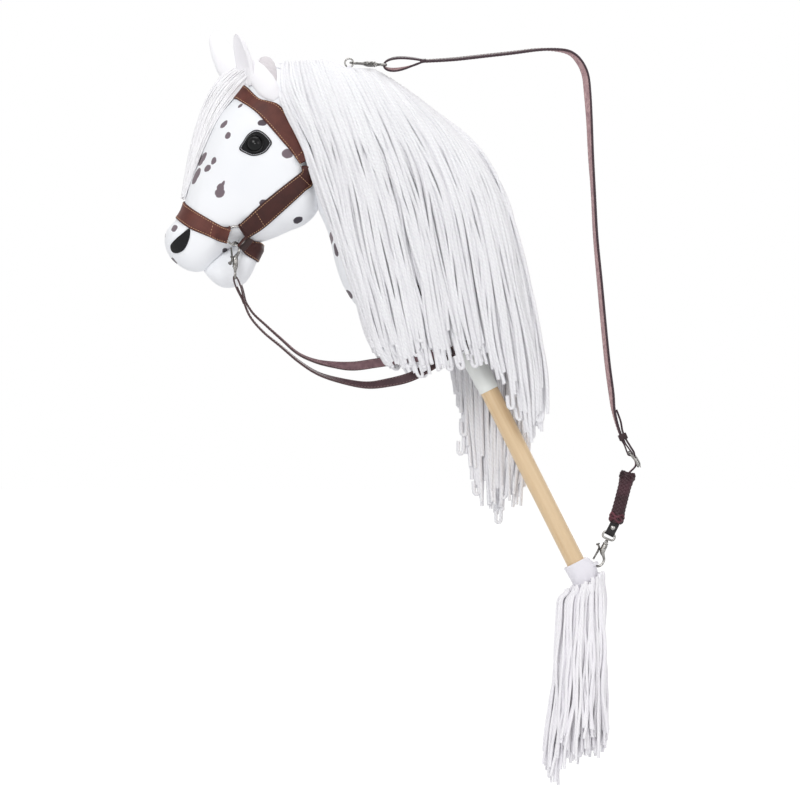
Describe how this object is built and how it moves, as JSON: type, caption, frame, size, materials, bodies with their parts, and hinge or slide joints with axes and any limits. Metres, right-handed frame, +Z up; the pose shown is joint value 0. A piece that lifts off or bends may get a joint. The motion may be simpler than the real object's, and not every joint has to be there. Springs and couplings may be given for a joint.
{
  "type": "hobby horse",
  "caption": "Hobby horse: stuffed spotted head with yarn mane on a wooden stick, leather halter and reins, buckled carry strap from crest to tail, and a hanging yarn tail",
  "frame": {"origin": "middle of the stick's bare grip, on the stick's axis, halfway between the neck's collar and the tail's sleeve", "axes": "+Z up as the picture shows the horse, -X the way it faces, +Y its right side; y = 0 is its plane of symmetry"},
  "size_m": [0.6222, 0.1226, 0.9669],
  "materials": {
    "pine": "matte",
    "white_fabric": "matte",
    "collar_fabric": "matte",
    "black_felt": "matte",
    "black_plastic": "gloss",
    "white_yarn": "matte",
    "halter_leather": "satin",
    "rein_leather": "satin",
    "black_leather": "satin",
    "nickel": "polished"
  },
  "bodies": {
    "horse": {"stick": "pine", "neck_collar": "collar_fabric", "tail_sleeve": "white_fabric", "tail_loop": "white_fabric", "head": "white_fabric", "neck": "white_fabric", "lower_jaw": "white_fabric", "ear_left": "white_fabric", "ear_right": "white_fabric", "eye_left": "black_plastic", "eye_right": "black_plastic", "eye_felt_left": "black_felt", "eye_felt_right": "black_felt", "nostril_left": "black_felt", "nostril_right": "black_felt", "browband": "halter_leather", "noseband": "halter_leather", "chin_strap": "halter_leather", "crown_strap": "halter_leather", "cheek_strap_left": "halter_leather", "cheek_strap_right": "halter_leather", "crest_tab": "white_fabric", "mane_left": "white_yarn", "mane_right": "white_yarn", "forelock": "white_yarn"},
    "carry": {"carry_strap": "rein_leather", "strap_keeper": "rein_leather", "buckle_frame": "nickel", "billet": "rein_leather", "grip": "rein_leather", "end_tab": "black_leather", "tab_rivet": "nickel", "top_swivel": "nickel", "lower_swivel": "nickel"},
    "prong": {"buckle_prong": "nickel"},
    "top_hook": {"top_hook": "nickel"},
    "top_gate": {"top_gate": "nickel"},
    "lower_hook": {"lower_hook": "nickel"},
    "lower_gate": {"lower_gate": "nickel"},
    "reins": {"rein": "rein_leather", "rein_swivel_left": "nickel", "rein_swivel_right": "nickel"},
    "rein_hook_left": {"rein_hook_left": "nickel"},
    "rein_gate_left": {"rein_gate_left": "nickel"},
    "rein_hook_right": {"rein_hook_right": "nickel"},
    "rein_gate_right": {"rein_gate_right": "nickel"},
    "tail": {"tail_tassel": "white_yarn"},
    "bit_ring_left": {"bit_ring_left": "nickel"},
    "bit_ring_right": {"bit_ring_right": "nickel"},
    "cheek_ring_left": {"cheek_ring_left": "nickel"},
    "cheek_ring_right": {"cheek_ring_right": "nickel"},
    "crest_ring": {"crest_ring": "nickel"}
  },
  "joints": [
    {"name": "carry_strap_swing", "type": "hinge", "parent": "horse", "child": "carry", "pos_m": [-0.2363, 0, 0.541], "axis": [0.4386, 0, -0.8987], "range_deg": [-35, 35]},
    {"name": "buckle_prong_lift", "type": "hinge", "parent": "carry", "child": "prong", "pos_m": [0.125, 0, 0.033], "axis": [0, 1, 0], "range_deg": [-20, 0]},
    {"name": "top_hook_turn", "type": "hinge", "parent": "carry", "child": "top_hook", "pos_m": [-0.19196, 0, 0.53823], "axis": [0.9982, 0, -0.0599], "range_deg": [-12, 12]},
    {"name": "lower_hook_turn", "type": "hinge", "parent": "carry", "child": "lower_hook", "pos_m": [0.09905, 0, -0.07042], "axis": [0.3903, 0, 0.9207], "range_deg": [-12, 12]},
    {"name": "top_gate_press", "type": "hinge", "parent": "top_hook", "child": "top_gate", "pos_m": [-0.21941, -0.00544, 0.53988], "axis": [-0.0599, 0, -0.9982], "range_deg": [0, 20], "stiffness_Nm_per_rad": 0.02, "springref_deg": -11.46},
    {"name": "lower_gate_press", "type": "hinge", "parent": "lower_hook", "child": "lower_gate", "pos_m": [0.08331, 0, -0.09361], "axis": [0, -1, 0], "range_deg": [0, 20], "stiffness_Nm_per_rad": 0.02, "springref_deg": -11.46},
    {"name": "rein_swing", "type": "hinge", "parent": "horse", "child": "reins", "pos_m": [-0.386, 0, 0.315], "axis": [0, 1, 0], "range_deg": [-3, 0]},
    {"name": "rein_hook_turn_left", "type": "hinge", "parent": "reins", "child": "rein_hook_left", "pos_m": [-0.387, -0.0395, 0.26012], "axis": [0, 0, -1], "range_deg": [-12, 2]},
    {"name": "rein_gate_press_left", "type": "hinge", "parent": "rein_hook_left", "child": "rein_gate_left", "pos_m": [-0.39104, -0.04314, 0.28762], "axis": [-0.6691, 0.7431, 0], "range_deg": [0, 20], "stiffness_Nm_per_rad": 0.02, "springref_deg": -11.46},
    {"name": "bit_ring_turn_left", "type": "hinge", "parent": "horse", "child": "bit_ring_left", "pos_m": [-0.386, -0.0395, 0.315], "axis": [0, 1, 0], "continuous": true},
    {"name": "cheek_ring_turn_left", "type": "hinge", "parent": "horse", "child": "cheek_ring_left", "pos_m": [-0.297, -0.04581, 0.408], "axis": [0, 1, 0], "continuous": true},
    {"name": "rein_hook_turn_right", "type": "hinge", "parent": "reins", "child": "rein_hook_right", "pos_m": [-0.387, 0.0395, 0.26012], "axis": [0, 0, -1], "range_deg": [-2, 12]},
    {"name": "rein_gate_press_right", "type": "hinge", "parent": "rein_hook_right", "child": "rein_gate_right", "pos_m": [-0.39104, 0.04314, 0.28762], "axis": [0.6691, 0.7431, 0], "range_deg": [0, 20], "stiffness_Nm_per_rad": 0.02, "springref_deg": -11.46},
    {"name": "bit_ring_turn_right", "type": "hinge", "parent": "horse", "child": "bit_ring_right", "pos_m": [-0.386, 0.0395, 0.315], "axis": [0, 1, 0], "continuous": true},
    {"name": "cheek_ring_turn_right", "type": "hinge", "parent": "horse", "child": "cheek_ring_right", "pos_m": [-0.297, 0.04581, 0.408], "axis": [0, 1, 0], "continuous": true},
    {"name": "crest_ring_turn", "type": "hinge", "parent": "horse", "child": "crest_ring", "pos_m": [-0.24, 0, 0.541], "axis": [0, 1, 0], "continuous": true},
    {"name": "tail_swing", "type": "hinge", "parent": "horse", "child": "tail", "pos_m": [0.0638, 0, -0.12686], "axis": [0, 1, 0], "range_deg": [-10, 10]}
  ]
}
